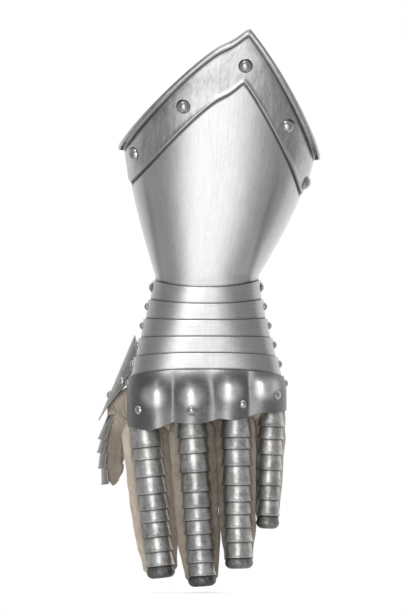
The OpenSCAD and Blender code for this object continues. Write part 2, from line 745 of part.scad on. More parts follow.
module glove_hand() {
    stations = [glove_top, 8, for (k = [0 : 4]) -8 + k * (last_pivot + 6.5) / 4, palm_low];
    n = 32;
    rings = concat([for (z = stations) palm_ring(z, 0)], [for (z = stations) palm_ring(z, leather_t)]);
    inner = len(stations) * n;
    last = (len(stations) - 1) * n;
    color("tan")
        union() {
            difference() {
                polyhedron([for (ring = rings) each ring], concat(
                    [for (i = [0 : len(stations) - 2]) for (j = [0 : n - 1])
                        each quad(i * n, (i + 1) * n, j, n, true)],
                    [for (i = [0 : len(stations) - 2]) for (j = [0 : n - 1])
                        each quad(inner + i * n, inner + (i + 1) * n, j, n, false)],
                    [for (j = [0 : n - 1]) each quad(0, inner, j, n, false)],
                    [for (j = [0 : n - 1]) each quad(last, last + inner, j, n, true)]));
                // Hole in the palm for the thumb
                translate([thumb_root.x - 1, 18, thumb_pivot_z - 3])
                    rotate([90, 0, 0])
                        cylinder(r = 5, h = 24, center = true);
            }
            leather_thumb();
        }
}

// The leather thumb follows the bent row of lames
module leather_thumb() {
    end = total(thumb_steps, 4) + 2;
    turn = function (p, k) k == 0 ? p :
        turn(bend_about(p, thumb_hinge(k)), k - 1);
    at = function (w) w < 0 ? 0 : w < total(thumb_steps, 1) ? 1 : w < total(thumb_steps, 2) ? 2
        : w < total(thumb_steps, 3) ? 3 : 4;
    ring = function (w, off)
        let (s = round_end(w, end, 7),
             // The root runs in behind the knuckle plate's end and through the palm
             in = 12 * share(-w, 10, 36), back = 4 * (share(-w, 8, 14) - share(-w, 26, 36)),
             wide = 9 - 2 * share(-w, 0, 10))
        [for (q = finger_ring(off + (7 - off) * s, off + (wide - off) * s,
                              2 * off + (8.5 - 2 * off) * s, w, off))
            turn([q.y + in, back - q.x, -thumb_plate_len - w], at(w))];
    places = [-36, -26, -14, -8, 6, 16, 27, end - 9, end - 4, end - 1.5, end];
    on_thumb()
        pouch([for (w = places) ring(w, 0)],
              [for (w = places) ring(w - leather_t * share(w, end - 12, end), leather_t)]);
}
function bend_about(p, h) =
    let (q = p - h, c = cos(-thumb_bend), s = sin(-thumb_bend))
    [h.x + q.x * c + q.z * s, p.y, h.z - q.x * s + q.z * c];

cuff_plate();
cuff_border();
cuff_rivets();
wrist_lame(1);  // wrist_lame_1
wrist_lame(2);  // wrist_lame_2
wrist_lame(3);  // wrist_lame_3
wrist_lame(4);  // wrist_lame_4
wrist_lame(5);  // wrist_lame_5
pivots([1, 2], 2.8);  // lame_1_pivots
pivots([3, 4], 2.8);  // lame_3_pivots
pivots([5, 6], 2.8);  // lame_5_pivots
knuckle_plate();
knuckle_rivets();
thumb_plate();
thumb_rivets();
thumb_lame(1);  // thumb_lame_1
thumb_lame(2);  // thumb_lame_2
thumb_lame(3);  // thumb_lame_3
thumb_lame(4);  // thumb_lame_4
for (f = fingers)
    for (k = [1 : len(f[5])])
        finger_lame(f, k);
glove_hand();
glove_fingers();
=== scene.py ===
"""Looks of a left-hand plate gauntlet: worn steel over a suede glove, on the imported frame."""

import math

import bmesh
import bpy
from mathutils import Matrix, Vector, noise


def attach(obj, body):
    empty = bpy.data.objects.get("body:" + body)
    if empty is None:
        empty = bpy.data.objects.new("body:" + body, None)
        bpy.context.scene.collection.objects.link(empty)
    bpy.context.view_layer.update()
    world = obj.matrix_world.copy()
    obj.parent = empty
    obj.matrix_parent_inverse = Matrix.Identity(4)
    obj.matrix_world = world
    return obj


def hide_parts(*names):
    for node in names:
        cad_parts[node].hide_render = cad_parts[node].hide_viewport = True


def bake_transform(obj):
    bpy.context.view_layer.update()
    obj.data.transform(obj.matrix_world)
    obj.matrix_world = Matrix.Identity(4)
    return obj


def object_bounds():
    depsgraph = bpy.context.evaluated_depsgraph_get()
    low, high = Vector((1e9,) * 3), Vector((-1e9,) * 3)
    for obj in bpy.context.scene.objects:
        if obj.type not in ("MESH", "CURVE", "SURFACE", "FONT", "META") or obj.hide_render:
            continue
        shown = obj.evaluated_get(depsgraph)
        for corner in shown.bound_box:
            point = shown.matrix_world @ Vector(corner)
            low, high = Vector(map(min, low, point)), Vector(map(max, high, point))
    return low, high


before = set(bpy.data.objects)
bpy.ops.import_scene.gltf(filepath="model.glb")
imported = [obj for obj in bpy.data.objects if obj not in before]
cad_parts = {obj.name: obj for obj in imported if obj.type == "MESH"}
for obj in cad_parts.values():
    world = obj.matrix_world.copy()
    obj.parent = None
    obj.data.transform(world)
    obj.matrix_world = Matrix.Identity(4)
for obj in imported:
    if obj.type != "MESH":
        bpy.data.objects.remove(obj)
cad_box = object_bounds()

MM = 0.001

# The part's own sizes, in millimetres
PLATE, LAME = 1.0, 0.9
WRIST_STEP, FINGER_STEP = 1.7, 1.5
WRIST_W, WRIST_FRONT, WRIST_REAR, PITCH = 76, 31, 29, 13.7
HAND_W, HAND_REAR = 115, 45
FIRST_PIVOT, PIVOT_Y = -2, -4
LAST_PIVOT = FIRST_PIVOT - 5 * PITCH
LEAD, OVERLAP, EAR_END, EAR_REACH = 5, 7.5, 93, 7.5
WIDEN_TOP, WIDEN_LOW = FIRST_PIVOT + LEAD, LAST_PIVOT - LEAD
PEAK, LEFT_RIM, RIGHT_RIM, PALM_RIM = 178, 97, 90, 76
LEFT_FLARE, RIGHT_FLARE, FLARE_START = 21, 38.5, WIDEN_TOP + 3
PEAK_TURN, SEAM_LAP, BAND_W = 7, 14, 27
CUFF_SLOPE, RIM_HOLLOW, BAND_SPAN = 0.3, 1.85, 97
# How far the seam's lap and the band stand out from the cuff
LAP_RISE, BAND_SEAT = 1.2, 1.2
THUMB_EAR, LITTLE_EAR = 103, 98
KNUCKLES = ((-37.8, -78), (-10.7, -78), (16.4, -74), (42.8, -72))
KNUCKLE_H, KNUCKLE_R, KNUCKLE_DROP = 6, 11.5, 31
TAPER, FINGER_OVERLAP, ROOT_TUCK, FINGER_ARC, TIP_ROUND = 1.3, 3.5, 9, 94, 4.5
THUMB_LEAN, THUMB_BEND, THUMB_LEN = 24, 8, 66
THUMB_TOP_R, THUMB_LOW_R = 14.2, 12.8
THUMB_ROOT = (-39, 20, -42)
# Where the thumb plate's pivot rivet stands, and how far down its ridge the other rivet does
SWING_Y, SWING_Z, RIDGE_W = 10, -69, 46
THUMB_STEPS = (12, 9.4, 11, 11.4)
THUMB_ARC, THUMB_TUCK = 62, 8
GLOVE_TOP, PALM_END, PALM_LOW = 24, -84, -89
LEATHER_GAP = 0.3

# Each finger's root as x and z, its lean, its radius, the lengths of its lames that show, how much wider than the
# lames its leather is, and how much deeper the row lies than the knuckle plate
FINGERS = {
    "index": (-44.2, -102, 6.3, 11.6, (13.6, 8.8, 12.4, 12.4, 11.4, 8.8, 10.6, 10.6, 10.4, 9), 2.4, 5.2),
    "middle": (-10.8, -100, 3.8, 11.5, (8.8, 11, 13.6, 14, 11.2, 9, 10, 10.8, 9.4, 9.6, 8), 2.4, 0),
    "ring": (20.6, -97.5, 1.3, 11.5, (10.8, 8.4, 12, 13.8, 11.8, 9, 9.6, 10.2, 11.4, 8), 0.6, 0),
    "little": (46, -92, -2, 9.7, (8.8, 9, 11, 11, 11, 10.4, 11.4, 9.6), 0.2, 5.6),
}


# Curves


def sin(a):
    return math.sin(math.radians(a))


def cos(a):
    return math.cos(math.radians(a))


def power(v, p):
    return math.copysign(abs(v) ** p, v)


def share(v, a, b):
    return min(1.0, max(0.0, (v - a) / (b - a)))


def smooth(v, a, b):
    t = share(v, a, b)
    return t * t * (3 - 2 * t)


def mix(a, b, t):
    return a + (b - a) * t


def oval(angle, left, right, front, rear, p):
    """A squared oval seen from above; 0 is the back of the hand and 90 the little finger's side."""
    half, middle = (right + left) / 2, (right - left) / 2
    depth = -front if cos(angle) > 0 else rear
    return middle + half * power(sin(angle), p), depth * abs(cos(angle)) ** p


def along(stops, t):
    """Value at t from 0 to 1 down a list of stops of even spacing."""
    k = min(len(stops) - 2, int(t * (len(stops) - 1)))
    return mix(stops[k], stops[k + 1], t * (len(stops) - 1) - k)


# Hand and wrist


def lame_at(z):
    return 1 + (FIRST_PIVOT - z) / PITCH


def stagger(i, z):
    return WRIST_STEP * (i - lame_at(max(z, WIDEN_LOW) if i > 5 else z))


def widen(z, p):
    return (HAND_W - WRIST_W) / 2 * share(-z, -WIDEN_TOP, -WIDEN_LOW) ** p


def squared(z):
    return 0.8 - 0.16 * share(-z, 0, 60)


def hand_point(angle, z, off):
    x, y = oval(angle, WRIST_W / 2 + widen(z, 1) + off, WRIST_W / 2 + widen(z, 1.3) + off,
                WRIST_FRONT + off, HAND_REAR, squared(z))
    return Vector((x, y, z))


def pivot_z(i):
    return FIRST_PIVOT - (i - 1) * PITCH


def ear(y):
    return math.sqrt(max(0.02, 1 - (max(0, y - PIVOT_Y) / EAR_REACH) ** 2))


def lift(i):
    return -5 + 2 * (i - 1)


def back_share(angle):
    return max(0, cos(angle)) ** 2


def lame_top(i, angle, e):
    return pivot_z(i) + LEAD * e + lift(i) * back_share(angle)


def lame_low(i, angle, e):
    return pivot_z(i + 1) - 0.5 - LEAD * e + (lift(i + 1) + 2 * LEAD + 0.5 - OVERLAP) * back_share(angle)


def lame_angle(u):
    """Angle round a wrist lame. More of its grid goes to the rounded ends."""
    return EAR_END * power(abs(2 * u - 1), 0.8) * (1 if u > 0.5 else -1)


def dark_line(distance, width=0.8):
    """How dark a painted line is, at a distance from its middle: a painted shadow along an edge or round a rivet
    head, and a dark seam on the thumb's leather.
    """
    return math.exp(-((distance / width) ** 2))


def shadow_along(i, angle, z):
    """Painted shadow against the upper edge of lame i, which lies over the plate at this angle and height."""
    return dark_line(z - lame_top(i, angle, ear(hand_point(angle, -40, 0).y)), 0.9)


def wrist_surface(i):
    def at(u, v):
        angle = lame_angle(u)
        e = ear(hand_point(angle, -40, 0).y)
        low = lame_low(i, angle, e)
        z = mix(low, lame_top(i, angle, e), v)
        # The lower edge is set out a touch, as a planished edge is
        lip = 0.25 * (1 - smooth(z - low, 0, 2.4))
        return hand_point(angle, z, stagger(i, z) + lip)
    return at


# Cuff


def flare(z, rim_z):
    u = max(0, (z - FLARE_START) / (rim_z - FLARE_START))
    return (u + sin(90 * u)) / 2 if u < 1 else (u + 1) / 2


def cuff_point(angle, z, off):
    tuck = -WRIST_STEP * lame_at(min(z, WIDEN_TOP)) + off
    slope = CUFF_SLOPE * max(0, z)
    x, y = oval(angle, WRIST_W / 2 + widen(z, 1) + LEFT_FLARE * flare(z, LEFT_RIM) + tuck,
                WRIST_W / 2 + widen(z, 1.3) + RIGHT_FLARE * flare(z, RIGHT_RIM) + tuck,
                WRIST_FRONT + slope + tuck, WRIST_REAR + slope + off, 0.8)
    return Vector((x, y, z))


def rim(angle):
    t = angle - PEAK_TURN
    side = LEFT_RIM if t < 0 else RIGHT_RIM
    u = abs(t) / (90 + PEAK_TURN if t < 0 else 90 - PEAK_TURN)
    if u < 1:
        return side + (PEAK - side) * (1 - u) ** RIM_HOLLOW
    return side + (PALM_RIM - side) * (1 - cos(180 * min(1, (u - 1) * 0.95))) / 2


def cuff_low(angle):
    return lame_low(0, min(90, abs(angle)), 1) + (5.5 + FIRST_PIVOT) * share(abs(angle), 100, 140)


def lap(angle):
    return LAP_RISE * smooth(angle, 180 - 1.5 * SEAM_LAP, 179 - SEAM_LAP / 2)


def band_z(angle, depth):
    return rim(angle) - (depth * (1 + 0.32 * share(cos(angle - PEAK_TURN), 0.2, 1))
                         * (1 - 0.45 * share(abs(angle), 78, BAND_SPAN)))


CUFF_ROWS = (0, 0.12, 0.72, 0.82, 1)


def cuff_share(v):
    """Spaces the cuff's rows out as CUFF_ROWS says, where evenly spaced stops are meant."""
    k = sum(v > b for b in CUFF_ROWS[1:4])
    return (k + share(v, CUFF_ROWS[k], CUFF_ROWS[k + 1])) / 4


def cuff_spot(u, v):
    """Angle and height on the cuff. Its rows lie closer along the lower edge of the band."""
    angle = mix(-180 - SEAM_LAP / 2, 180 + SEAM_LAP / 2, u)
    band = band_z(angle, BAND_W)
    heights = [cuff_low(angle), cuff_low(angle) + 9, band - 2.5, band + 0.5, rim(angle)]
    return angle, along(heights, cuff_share(v))


def cuff_surface(u, v):
    angle, z = cuff_spot(u, v)
    return cuff_point(angle, z, lap(angle))


# Where painted shade runs up the cuff along two soft creases, where its front turns to its sides: across it at a
# height of 6 and of 75
CREASE_SHADE = ((-32.5, -44.5), (30, 50))


# Painted shade on the cuff: a shadow line just under the band's lower edge, a shadow line along the upper edge of
# the first wrist lame, and soft shade along the two creases
def cuff_painted_shade(u, v):
    angle, z = cuff_spot(u, v)
    if abs(angle) > BAND_SPAN:
        return 0
    x = cuff_point(angle, z, 0).x
    crease_and_shade = 0.4 * max(dark_line(x - mix(*side, share(z, 6, 75)), 2.2) for side in CREASE_SHADE) * share(z, 100, 60)
    return max(dark_line(z - band_z(angle, BAND_W) + 0.5, 0.9), shadow_along(1, angle, z), crease_and_shade)


# The band's section: distance above the rim, and how far it stands out
BAND_PROFILE = [(-BAND_W, -0.7), (-BAND_W + 0.5, -0.1), (-BAND_W + 1.1, 0.25), (-BAND_W + 1.8, 0.3),
                (-BAND_W + 2.8, 0), (-BAND_W * 0.5, 0), (-5, 0), (-2.6, -0.15), (-1.0, 0.05), (0.4, 0.6), (1.4, 1.3),
                (1.9, 2.1), (1.5, 2.9), (0.4, 3.3), (-0.9, 3.1)]


# Painted shade on the band: a shadow line along its lower edge and in the hollow at the foot of its rolled edge
def band_painted_shade(u, v):
    depth = along([p[0] for p in BAND_PROFILE], v)
    turned = along([p[1] for p in BAND_PROFILE], v) > 1.8
    return max(dark_line(depth + BAND_W, 0.7), 0 if turned else dark_line(depth + 1.9, 1.1))


def band_surface(u, v):
    angle = mix(-BAND_SPAN, BAND_SPAN, u)
    depth = along([p[0] for p in BAND_PROFILE], v)
    off = along([p[1] for p in BAND_PROFILE], v)
    # The rolled edge dies away at the ends of the band
    off *= 1 - 0.8 * smooth(abs(angle), 84, BAND_SPAN)
    z = band_z(angle, -depth) if depth < -4.5 else rim(angle) + depth
    if -4.5 <= depth < -1.5:
        z = mix(band_z(angle, 4.5), rim(angle) - 1.5, share(depth, -4.5, -1.5))
    return cuff_point(angle, z, BAND_SEAT + off)


def facing(at, a, b, step):
    """Place on a surface of two values, with its own outward direction."""
    across = at(a + step, b) - at(a - step, b)
    up = at(a, b + step) - at(a, b - step)
    return at(a, b), across.cross(up).normalized()


def cuff_place(angle, z, off=0.0):
    return facing(lambda a, b: cuff_point(a, b, off), angle, z, 1.0)


# Knuckle plate


def boss(x, z):
    """Height of the knuckle bosses over the plate. Each dies away over its finger more slowly than upwards."""
    best = 0
    for kx, kz in KNUCKLES:
        swell = math.exp(-(((z - kz) / 11) ** 2))
        best += (math.exp(-(((x - kx) / KNUCKLE_R) ** 2)) * (swell if z > kz else 0.5 + 0.5 * swell)) ** 6
    return KNUCKLE_H * best ** (1 / 6)


def knuckle_point(angle, z):
    p = hand_point(angle, z, stagger(6, z))
    p.y -= boss(p.x, z)
    return p


# The lower edge's four lobes: where they meet, how high they meet and how far each sags
LOBE_EDGES = (-57.5, -24, 9, 37.5, 57.5)
LOBE_HEIGHTS = (0.5, 3.5, 6, 10.5, 11.5)
LOBE_SAGS = (4, 2.5, 3, 1)


def knuckle_low(angle):
    x = hand_point(angle, LAST_PIVOT - KNUCKLE_DROP, 0).x
    k = sum(x >= e for e in LOBE_EDGES[1:4])
    u = share(x, LOBE_EDGES[k], LOBE_EDGES[k + 1])
    return (LAST_PIVOT - KNUCKLE_DROP + mix(LOBE_HEIGHTS[k], LOBE_HEIGHTS[k + 1], u)
            - LOBE_SAGS[k] * sin(180 * u))


def knuckle_surface(u, v):
    angle = mix(-THUMB_EAR, LITTLE_EAR, u)
    end = hand_point(THUMB_EAR if angle < 0 else LITTLE_EAR, LAST_PIVOT, 0).y
    y = hand_point(angle, LAST_PIVOT, 0).y
    e = math.sqrt(max(0.03, 1 - (max(0, y - end + 9) / 9) ** 2)) if abs(angle) > 88 else 1
    top = LAST_PIVOT + LEAD * e + lift(6) * back_share(angle)
    low = LAST_PIVOT - (LAST_PIVOT - knuckle_low(angle)) * e
    return knuckle_point(angle, mix(low, top, v))


def knuckle_place(x, z):
    right, left = hand_point(90, z, 0).x, hand_point(-90, z, 0).x
    t = (x - (right + left) / 2) / ((right - left) / 2)
    angle = math.degrees(math.asin(power(t, 1 / 0.64)))
    return facing(knuckle_point, angle, z, 1.0)


# Fingers


def total(steps, n):
    return sum(steps[:n])


def finger_radius(r, steps, w):
    return r - TAPER * w / total(steps, len(steps))


def finger_turn(name):
    """Takes a point from a finger's own frame, w down its axis, to the part's."""
    x, z, lean, r, steps, spare, deeper = FINGERS[name]
    y = knuckle_place(x, z + 3)[0].y + PLATE + 0.6 + r - FINGER_STEP + deeper
    return Matrix.Translation((x, y, z)) @ Matrix.Rotation(math.radians(-lean), 4, "Y")


TURN = {name: finger_turn(name) for name in FINGERS}


def lame_wall(r, steps, k, tuck):
    low, pitch = total(steps, k), steps[k - 1]
    high = -tuck if k == 1 else low - pitch - FINGER_OVERLAP
    radius = finger_radius(r, steps, low)
    slope = FINGER_STEP / pitch
    lip = min(2, pitch / 4)
    return [(radius - slope * (low - high), high), (radius - slope * lip - 0.15, low - lip), (radius + 0.1, low)]


def wall_radius(wall, v):
    """Radius and distance down the finger at v, which is 0 at a lame's lower edge and 1 at its upper."""
    (r0, w0), (r1, w1), (r2, w2) = wall
    w = mix(w2, w0, v)
    if w > w1:
        t = share(w, w1, w2)
        return mix(r1, r2 + 0.15, t * t), w
    return mix(r0, r1, share(w, w0, w1)), w


def finger_lame_surface(name, k):
    x, z, lean, r, steps, spare, deeper = FINGERS[name]
    wall = lame_wall(r, steps, k, ROOT_TUCK)
    last = k == len(steps)
    radius, end, turn = wall[2][0] - 0.2, wall[2][1], TURN[name]

    def at(u, v):
        angle = FINGER_ARC * (2 * u - 1)
        if last:
            # A flat end, a round corner and the wall
            if v < 0.3:
                rad, w = mix(0.2, radius - TIP_ROUND, v / 0.3), end
            elif v < 0.6:
                q = 90 * (0.6 - v) / 0.3
                rad, w = radius - TIP_ROUND * (1 - cos(q)), end - TIP_ROUND * (1 - sin(q))
            else:
                t = (v - 0.6) / 0.4
                rad, w = mix(radius, wall[0][0] - 0.12, t), mix(end - TIP_ROUND, wall[0][1], t)
        else:
            rad, w = wall_radius(wall, v)
        return turn @ Vector((rad * sin(angle), -rad * cos(angle), -w))
    return at


# Thumb


def thumb_turn(k):
    """Takes a point from the thumb plate's frame to the part's, down k bends of the row."""
    m = Matrix.Translation(THUMB_ROOT) @ Matrix.Rotation(math.radians(THUMB_LEAN), 4, "Y")
    for n in range(1, k + 1):
        h = Vector(thumb_hinge(n))
        m = m @ Matrix.Translation(h) @ Matrix.Rotation(math.radians(-THUMB_BEND), 4, "Y") @ Matrix.Translation(-h)
    return m


def thumb_wall(k):
    return lame_wall(THUMB_LOW_R - FINGER_STEP, THUMB_STEPS, k, THUMB_TUCK)


def thumb_hinge(k):
    r, w = thumb_wall(k)[0]
    return (-(r - LAME), 0, -THUMB_LEN - w)


def leaf_r(w):
    return THUMB_TOP_R - (THUMB_TOP_R - THUMB_LOW_R) * w / THUMB_LEN


def leaf_surface(u, v):
    angle = mix(-68, 60, u)
    low = THUMB_LEN * (1 - 0.55 * (abs(angle) / 75) ** 1.4)
    high = (26 if angle > 0 else 16) * (abs(angle) / 75) ** 2
    w = mix(low, high, v)
    r = leaf_r(w) + 0.3 * (1 - smooth(low - w, 0, 3))
    return thumb_turn(0) @ Vector((-r * cos(angle), -r * sin(angle), -w))


def thumb_lame_surface(k):
    wall, turn = thumb_wall(k), thumb_turn(k)

    def at(u, v):
        # The grid runs from the palm side round the ridge to the back of the hand
        angle = THUMB_ARC * (2 * u - 1)
        rad, w = wall_radius(wall, v)
        return turn @ Vector((-rad * cos(angle), -rad * sin(angle), -THUMB_LEN - w))
    return at


# Shader arithmetic


class Wire:
    """One socket of a finish, with the arithmetic that the finishes are written in."""

    def __init__(self, finish, socket):
        self.finish, self.socket = finish, socket

    def _math(self, operation, *values):
        return self.finish.node("ShaderNodeMath", {"operation": operation}, dict(enumerate(values)))

    def __add__(self, other):
        return self._math("ADD", self, other)

    def __radd__(self, other):
        return self._math("ADD", other, self)

    def __sub__(self, other):
        return self._math("SUBTRACT", self, other)

    def __rsub__(self, other):
        return self._math("SUBTRACT", other, self)

    def __mul__(self, other):
        return self._math("MULTIPLY", self, other)

    def __rmul__(self, other):
        return self._math("MULTIPLY", other, self)

    def __truediv__(self, other):
        return self._math("DIVIDE", self, other)

    def size(self):
        return self._math("ABSOLUTE", self)

    def most(self, other):
        return self._math("MAXIMUM", self, other)

    def ramp(self, low, high, to_low=0.0, to_high=1.0):
        """A smooth step from to_low, where the value is low, to to_high, where it is high."""
        return self.finish.node("ShaderNodeMapRange", {"interpolation_type": "SMOOTHSTEP"},
                                {0: self, 1: low, 2: high, 3: to_low, 4: to_high})


class Graph:
    """A node tree, built up one node at a time."""

    def __init__(self, owner):
        owner.use_nodes = True
        self.tree = owner.node_tree

    def node(self, kind, settings=None, values=None, out=0):
        made = self.tree.nodes.new(kind)
        for key, value in (settings or {}).items():
            if key == "stops":
                while len(made.color_ramp.elements) < len(value):
                    made.color_ramp.elements.new(0.5)
                for element, (place, colour) in zip(made.color_ramp.elements, value):
                    element.position, element.color = place, (*colour, 1)
            else:
                setattr(made, key, value)
        for key, value in (values or {}).items():
            if isinstance(value, Wire):
                self.tree.links.new(value.socket, made.inputs[key])
            else:
                made.inputs[key].default_value = value
        return None if out is None else Wire(self, made.outputs[out])


class Finish(Graph):
    """A procedural material with one Principled shader."""

    def __init__(self, name, **fixed):
        self.material = bpy.data.materials.new(name)
        super().__init__(self.material)
        self.shader = next(n for n in self.tree.nodes if n.type == "BSDF_PRINCIPLED")
        for socket, value in fixed.items():
            self.shader.inputs[socket.replace("_", " ")].default_value = value

    def place(self, scale, source="Object"):
        """Coordinates in metres, stretched by three scales."""
        where = self.node("ShaderNodeTexCoord", out=source)
        return self.node("ShaderNodeMapping", {}, {"Vector": where, "Scale": scale})

    def grain(self, scale, detail=3.0, rough=0.5, source="Object", scales=(1, 1, 1), warp=0.0):
        return self.node("ShaderNodeTexNoise", {"noise_dimensions": "3D"},
                         {"Vector": self.place(scales, source), "Scale": scale, "Detail": detail,
                          "Roughness": rough, "Distortion": warp})

    def tint(self, a, b, factor, blend="MIX"):
        def colour(c):
            return c if isinstance(c, Wire) else (*c, 1)
        return self.node("ShaderNodeMix", {"data_type": "RGBA", "blend_type": blend},
                         {0: factor, 6: colour(a), 7: colour(b)}, out=2)

    def painted(self, mark):
        """A value from 0 to 1 that the piece's own mesh carries."""
        return self.node("ShaderNodeAttribute", {"attribute_name": mark}, out="Fac")

    def bump(self, height, distance, before=None):
        values = {"Strength": 1.0, "Distance": distance, "Height": height}
        if before:
            values["Normal"] = before
        return self.node("ShaderNodeBump", {}, values)

    def wear(self, **sockets):
        for socket, value in sockets.items():
            self.tree.links.new(value.socket, self.shader.inputs[socket.replace("_", " ")])
        return self.material


def steel(name, dark, light, rough, streak, dents, scratches=0.0, mottle=0.0, cloudy=0.5, polish=None,
          wraps=False):
    """Worn steel. The piece's UV map is in metres: x along the plate's width and y up it.

    streak gives the two scales of the brushing, along x and along y of that map. A plate that wraps round the
    arm takes the painted shade that its mesh carries on its outside only.
    """
    f = Finish(name, Metallic=1.0, IOR=1.8)
    brushing = f.grain(1.0, 4, 0.6, "UV", (streak[0], streak[1], 1))
    fine = f.grain(1.0, 2, 0.6, "UV", (streak[0] * 4, streak[1] * 4, 1))
    crossing = f.grain(1.0, 2, 0.6, "UV", (streak[1], streak[0], 1))
    cloud = f.grain(26, 4, 0.6)
    patches = f.grain(170, 5, 0.62)
    shade = ((brushing - 0.5) * 0.5 + (fine - 0.5) * 0.4 + (crossing - 0.5) * 0.2 + (cloud - 0.5) * cloudy + 0.5)
    if mottle:
        shade = shade + (patches - 0.5) * mottle
    if scratches:
        cut = f.node("ShaderNodeTexVoronoi", {"feature": "DISTANCE_TO_EDGE"},
                     {"Vector": f.place((1, 1, 0.35)), "Scale": 260, "Randomness": 1.0})
        shade = shade + cut.ramp(0.0, 0.035, scratches, 0.0) * patches.ramp(0.5, 0.65)
    colour = f.tint(dark, light, shade.ramp(0.1, 0.9))
    roughness = (rough + (cloud - 0.5) * 0.1 + (brushing - 0.5) * 0.12 + (fine - 0.5) * 0.08).most(0.12)
    # Painted highlight: a lighter colour where the mesh carries it, a touch rougher there
    if polish:
        highlight_amount = f.painted("polish") * (0.8 + (patches - 0.5) * 0.8)
        colour = f.tint(colour, polish, highlight_amount)
        roughness = roughness + highlight_amount * 0.05
    # Painted shade that the mesh carries darkens the colour and makes it rougher
    soil = f.painted("soil")
    if wraps:
        away = f.node("ShaderNodeVectorMath", {"operation": "MULTIPLY"},
                      {0: f.node("ShaderNodeTexCoord", out="Object"), 1: (1, 1, 0)})
        outside = f.node("ShaderNodeVectorMath", {"operation": "DOT_PRODUCT"},
                         {0: away, 1: f.node("ShaderNodeTexCoord", out="Normal")}, out="Value")
        soil = soil * outside.ramp(0, 0.004)
        colour = f.tint(f.tint(dark, light, (patches * 0.6 + cloud * 0.4).ramp(0.3, 1.0)), colour,
                        outside.ramp(0, 0.004))
        roughness = roughness + outside.ramp(0, 0.004, 0.12, 0)
    colour = f.tint(colour, (0.03, 0.028, 0.026), soil * 0.85)
    height = brushing * 0.35 + fine * 0.35 + f.grain(700, 2) * 0.3
    normal = f.bump(height, 0.00003)
    if dents:
        normal = f.bump(f.grain(95, 2, 0.5), dents, normal)
    return f.wear(Base_Color=colour, Roughness=roughness + soil * 0.2, Normal=normal)


def suede(name, light, dark):
    """Napped leather of uneven tone, creased, with painted shade along its creases and in the hollows that its mesh
    marks, and dark seams where its mesh marks them.
    """
    f = Finish(name, Metallic=0.0, IOR=1.45, Sheen_Weight=0.25, Sheen_Roughness=0.5)
    nap = f.grain(2600, 4, 0.7)
    soil = f.grain(42, 5, 0.62)
    blotch = f.grain(130, 4, 0.6)
    crease_and_shade = f.grain(75, 5, 0.6, scales=(1.0, 1.0, 0.45), warp=0.4)
    fold = (crease_and_shade - 0.5).size().ramp(0.0, 0.09, 1.0, 0.0)
    base = f.tint(light, dark, (soil * 0.6 + blotch * 0.25).ramp(0.32, 0.9))
    base = f.tint(base, (0.55, 0.38, 0.28), soil.ramp(0.52, 0.8, 0, 0.25))
    # Painted shade: darker along the creases
    base = f.tint(base, (0.24, 0.18, 0.12), fold * 0.12)
    base = f.tint(base, (0.9, 0.84, 0.74), nap.ramp(0.5, 0.75, 0, 0.25))
    # Painted shade from the mesh, between the fingers and under the plates, and the thumb's dark seams
    base = f.tint(base, (0.085, 0.065, 0.045), f.painted("soil") * (0.85 + (blotch - 0.5) * 0.5))
    normal = f.bump(fold, -0.0006, f.bump(nap * 0.5 + blotch, 0.00016))
    return f.wear(Base_Color=base, Roughness=nap.ramp(0.3, 0.7, 0.82, 0.97), Normal=normal)


CUFF_STEEL = steel("satin_steel_cuff", (0.40, 0.40, 0.40), (0.66, 0.66, 0.66), 0.29, (1600, 40), 0.00012,
                   cloudy=0.2, wraps=True)
BAND_STEEL = steel("satin_steel_band", (0.30, 0.30, 0.30), (0.60, 0.60, 0.60), 0.32, (300, 300), 0.0003, cloudy=0.8,
                   wraps=True)
LAME_STEEL = steel("satin_steel_wrist", (0.32, 0.32, 0.32), (0.57, 0.57, 0.57), 0.31, (60, 1500), 0.00015,
                   cloudy=0.3, wraps=True)
# Dark knuckle steel with a painted highlight of light grey on its bosses
KNUCKLE_STEEL = steel("knuckle_steel_painted_highlight", (0.20, 0.20, 0.20), (0.40, 0.40, 0.40), 0.30, (500, 300), 0.0002,
                      mottle=0.2, polish=(0.8, 0.8, 0.8))
FINGER_STEEL = steel("worn_steel_fingers", (0.24, 0.24, 0.235), (0.72, 0.72, 0.71), 0.40, (700, 120), 0.0004,
                     0.4, 0.85)
THUMB_STEEL = steel("satin_steel_thumb", (0.24, 0.24, 0.235), (0.52, 0.52, 0.51), 0.34, (900, 90), 0.0003, 0.15, 0.3)
TIP_STEEL = steel("dark_steel_tips", (0.07, 0.07, 0.07), (0.24, 0.24, 0.24), 0.48, (400, 400), 0.0008, 0.2, 0.6)
WORN_TIP_STEEL = steel("worn_steel_tips", (0.12, 0.12, 0.12), (0.36, 0.36, 0.35), 0.44, (400, 400), 0.0008, 0.2, 0.7)
RIVET_STEEL = steel("domed_steel_rivets", (0.26, 0.26, 0.26), (0.56, 0.56, 0.56), 0.26, (600, 600), 0.0003)
SUEDE = suede("cream_suede", (0.66, 0.58, 0.48), (0.44, 0.36, 0.27))


# Making of pieces


def finish_mesh(bm, name, material, sharp=40):
    mesh = bpy.data.meshes.new(name)
    bm.to_mesh(mesh)
    bm.free()
    for face in mesh.polygons:
        face.use_smooth = True
    mesh.set_sharp_from_angle(angle=math.radians(sharp))
    mesh.materials.append(material)
    piece = bpy.data.objects.new(name, mesh)
    bpy.context.scene.collection.objects.link(piece)
    return piece


